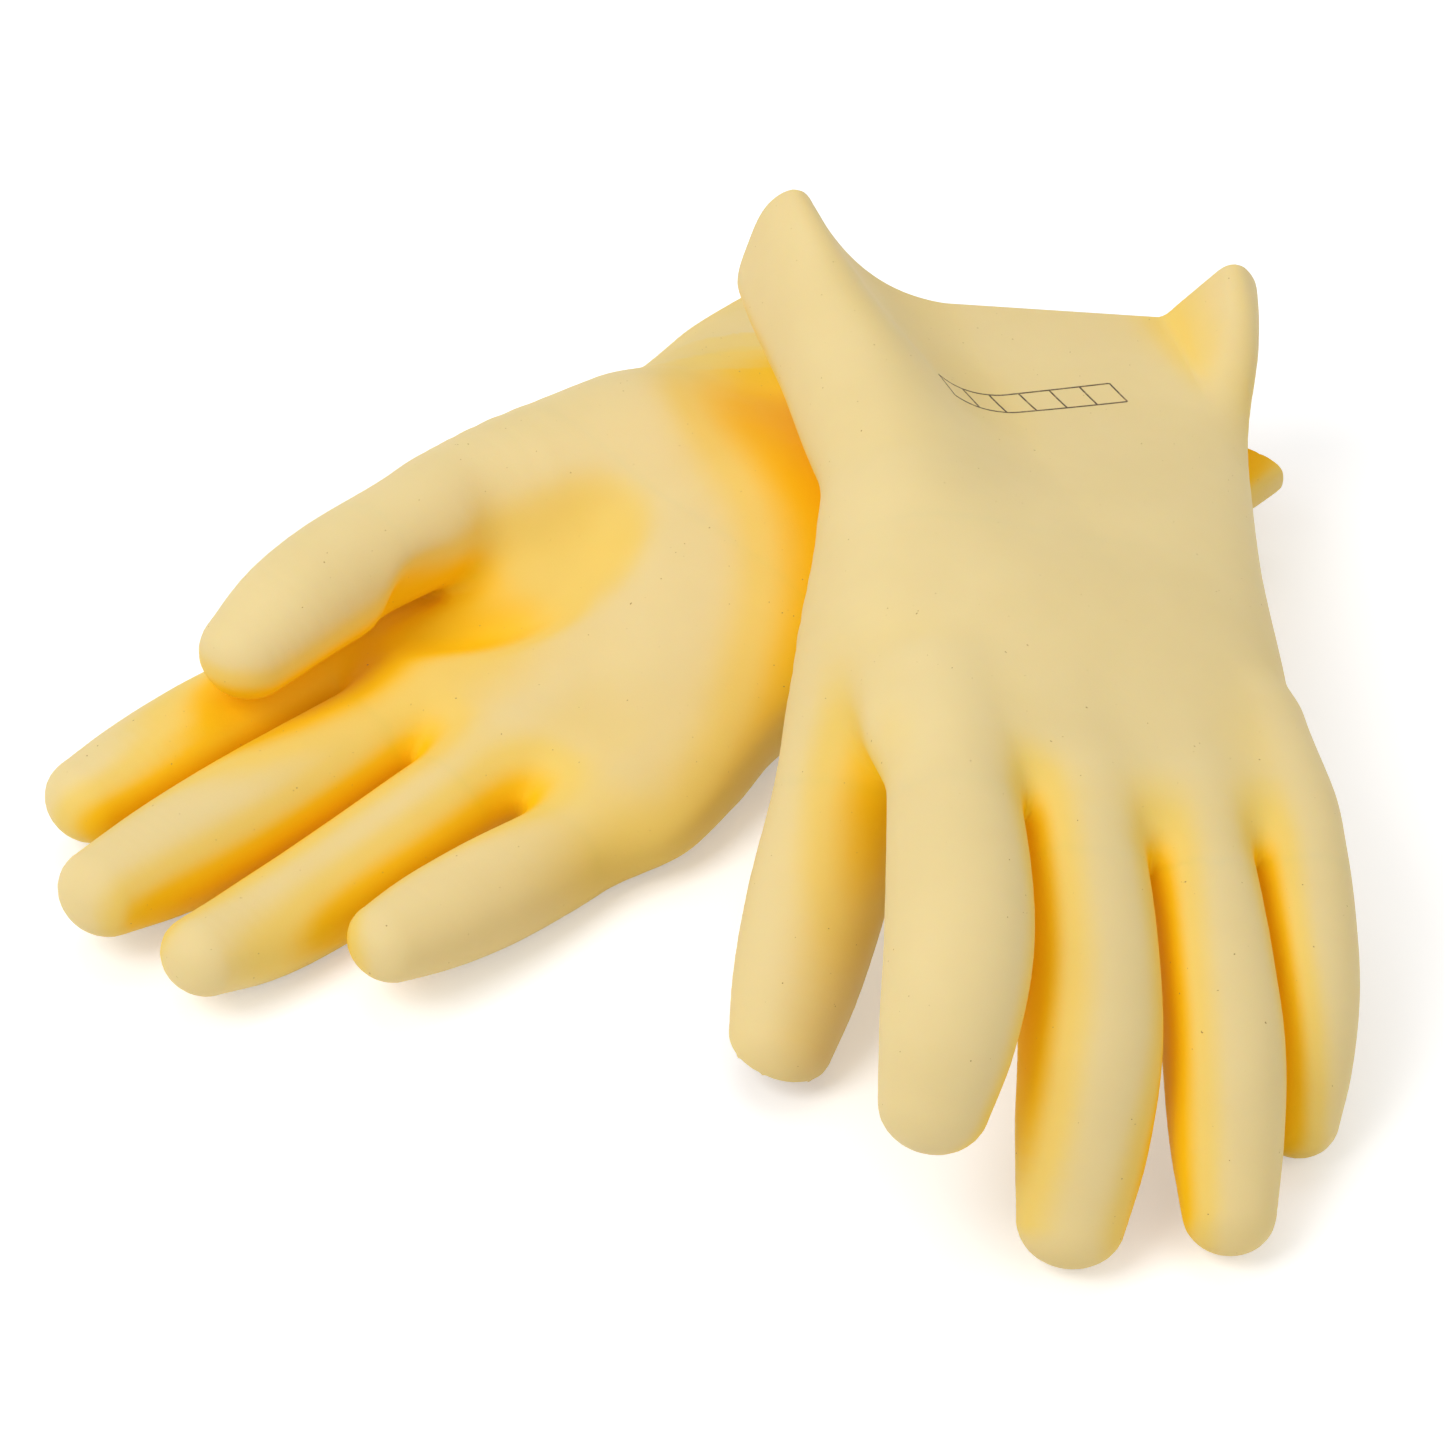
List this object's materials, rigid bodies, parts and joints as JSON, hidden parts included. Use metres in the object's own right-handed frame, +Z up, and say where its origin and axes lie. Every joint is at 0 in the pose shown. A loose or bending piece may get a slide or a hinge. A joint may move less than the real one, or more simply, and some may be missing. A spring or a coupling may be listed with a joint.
{
  "type": "pair of insulating gloves",
  "caption": "Two soft rubber gloves with long flared cuffs, lying crossed: one palm up, one palm down with its dented cuff on the other's.",
  "frame": {"origin": "centre of the pair's footprint on the surface it lies on", "axes": "+Z up from that surface; the palm-down glove's fingers point along -Y"},
  "size_m": [0.2822, 0.3361, 0.0847],
  "materials": {
    "latex": "matt, dusted natural rubber, cream yellow",
    "ink": "thin stamped ink"
  },
  "bodies": {
    "right_hand": {"right_palm": "latex", "right_cuff": "latex"},
    "left_hand": {"left_palm": "latex"},
    "left_cuff": {"left_cuff": "latex"},
    "right_thumb": {"right_thumb": "latex"},
    "right_index_finger": {"right_index_finger": "latex"},
    "right_middle_finger": {"right_middle_finger": "latex"},
    "right_ring_finger": {"right_ring_finger": "latex"},
    "right_little_finger": {"right_little_finger": "latex"},
    "left_thumb": {"left_thumb": "latex"},
    "left_index_finger": {"left_index_finger": "latex"},
    "left_middle_finger": {"left_middle_finger": "latex"},
    "left_ring_finger": {"left_ring_finger": "latex"},
    "left_little_finger": {"left_little_finger": "latex"}
  },
  "joints": [
    {"name": "left_glove_lift", "type": "slide", "parent": "right_hand", "child": "left_hand", "axis": [0, 0, 1], "range_m": [0, 0.25]},
    {"name": "left_wrist", "type": "hinge", "parent": "left_hand", "child": "left_cuff", "pos_m": [0.08025, 0.00294, 0.05292], "axis": [0.945, 0.1402, -0.2954], "range_deg": [0, 25], "stiffness_Nm_per_rad": 1.2},
    {"name": "right_thumb_joint", "type": "hinge", "parent": "right_hand", "child": "right_thumb", "pos_m": [-0.04782, 0.04926, 0.03117], "axis": [-0.6989, 0.7152, 0.01], "range_deg": [0, 20], "stiffness_Nm_per_rad": 0.4},
    {"name": "right_index_knuckle", "type": "hinge", "parent": "right_hand", "child": "right_index_finger", "pos_m": [-0.0827, 0.01424, 0.0084], "axis": [-0.721, 0.6929, 0.0076], "range_deg": [0, 6], "stiffness_Nm_per_rad": 0.4},
    {"name": "right_middle_knuckle", "type": "hinge", "parent": "right_hand", "child": "right_middle_finger", "pos_m": [-0.06751, -0.00945, 0.01021], "axis": [-0.7234, 0.6904, 0.0074], "range_deg": [0, 40], "stiffness_Nm_per_rad": 0.4},
    {"name": "right_ring_knuckle", "type": "hinge", "parent": "right_hand", "child": "right_ring_finger", "pos_m": [-0.04711, -0.02751, 0.01008], "axis": [-0.7411, 0.6713, 0.0054], "range_deg": [0, 40], "stiffness_Nm_per_rad": 0.4},
    {"name": "right_little_knuckle", "type": "hinge", "parent": "right_hand", "child": "right_little_finger", "pos_m": [-0.01973, -0.04026, 0.00789], "axis": [-0.6926, 0.7212, 0.0107], "range_deg": [0, 40], "stiffness_Nm_per_rad": 0.4},
    {"name": "left_thumb_joint", "type": "hinge", "parent": "left_hand", "child": "left_thumb", "pos_m": [0.04332, -0.0421, 0.04695], "axis": [-0.2991, 0.0055, -0.9542], "range_deg": [0, 20], "stiffness_Nm_per_rad": 0.4},
    {"name": "left_index_knuckle", "type": "hinge", "parent": "left_hand", "child": "left_index_finger", "pos_m": [0.05574, -0.0927, 0.06268], "axis": [-0.9534, -0.0429, 0.2986], "range_deg": [0, 25], "stiffness_Nm_per_rad": 0.4},
    {"name": "left_middle_knuckle", "type": "hinge", "parent": "left_hand", "child": "left_middle_finger", "pos_m": [0.08172, -0.09478, 0.0519], "axis": [-0.9426, -0.1574, 0.2945], "range_deg": [0, 25], "stiffness_Nm_per_rad": 0.4},
    {"name": "left_ring_knuckle", "type": "hinge", "parent": "left_hand", "child": "left_ring_finger", "pos_m": [0.10629, -0.08963, 0.04423], "axis": [-0.9362, -0.1952, 0.2923], "range_deg": [0, 25], "stiffness_Nm_per_rad": 0.4},
    {"name": "left_little_knuckle", "type": "hinge", "parent": "left_hand", "child": "left_little_finger", "pos_m": [0.12888, -0.07631, 0.04006], "axis": [-0.9399, -0.1746, 0.2936], "range_deg": [0, 25], "stiffness_Nm_per_rad": 0.4}
  ]
}
